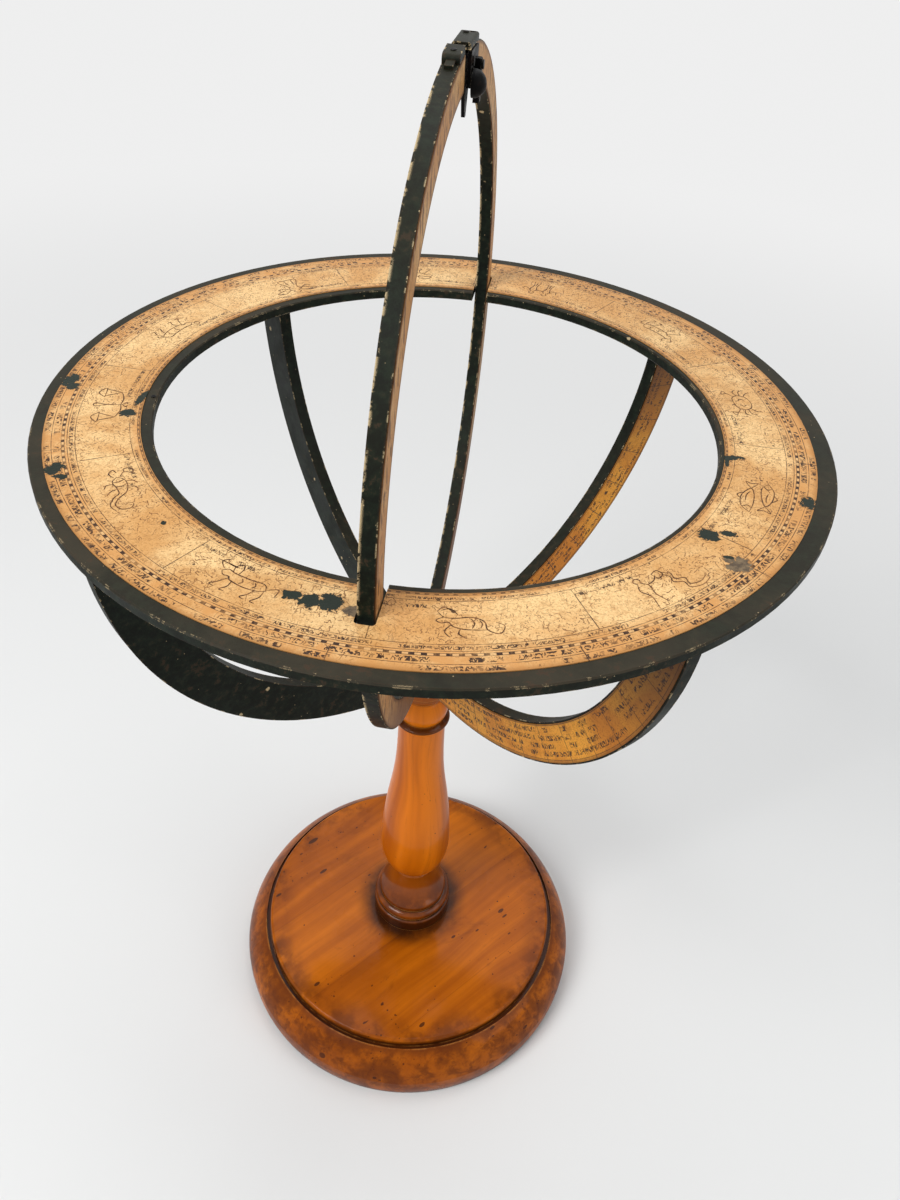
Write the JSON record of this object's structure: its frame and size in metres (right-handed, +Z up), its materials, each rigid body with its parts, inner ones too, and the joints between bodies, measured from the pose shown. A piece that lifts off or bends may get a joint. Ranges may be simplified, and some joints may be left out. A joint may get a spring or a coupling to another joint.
{
  "type": "armillary sphere stand",
  "caption": "Turned wooden stand of a papered armillary sphere: round base, pillar, four curved supports, flat horizon ring and a turning meridian ring with an iron pole fitting.",
  "frame": {"origin": "under the pillar's axis, on the surface it stands on; the base's middle is 4 mm to the front", "axes": "+Z up along the pillar; the meridian ring stands in the YZ plane at rest; -Y is the front, with the papered face of the meridian ring towards +X"},
  "size_m": [0.26, 0.26, 0.4382],
  "materials": {
    "fruitwood": "turned fruitwood, warm orange brown, french polished, worn",
    "bare_wood": "bare brown wood, dull",
    "green_paint": "wood painted dark green black, satin, chipped at the edges",
    "printed_paper": "varnished yellowed paper with printed scales and tables, stained and torn",
    "black_iron": "forged iron, blackened, satin",
    "brass": "dull brass"
  },
  "bodies": {
    "stand": {"base": "fruitwood", "pillar": "fruitwood", "hub_block": "fruitwood", "support_back_left": "green_paint", "support_back_right": "green_paint", "support_front_left": "green_paint", "support_front_right": "green_paint", "horizon_ring": "green_paint", "support_paper_back_left": "printed_paper", "support_paper_back_right": "printed_paper", "support_paper_front_left": "printed_paper", "support_paper_front_right": "printed_paper", "horizon_paper": "printed_paper", "base_screw": "black_iron", "base_washer": "black_iron", "horizon_screws": "black_iron", "rim_nail": "black_iron"},
    "meridian": {"meridian_ring": "green_paint", "meridian_paper": "printed_paper", "south_pole_bush": "brass", "front_block": "green_paint", "bridge_block": "green_paint", "block_nails": "black_iron", "pole_cheek": "black_iron", "stop_bar": "black_iron", "cheek_rivets": "black_iron", "strip_left": "black_iron", "strip_right": "black_iron", "pole_bush": "brass", "hanger_packing": "bare_wood", "hanger_rivet": "black_iron"},
    "clamp": {"clamp_screw": "black_iron"}
  },
  "joints": [
    {"name": "meridian_turn", "type": "hinge", "parent": "stand", "child": "meridian", "pos_m": [0, 0, 0.328], "axis": [1, 0, 0], "range_deg": [-75, 75]},
    {"name": "clamp_turn", "type": "hinge", "parent": "meridian", "child": "clamp", "pos_m": [0, 0, 0.4276], "axis": [1, 0, 0], "continuous": true}
  ]
}
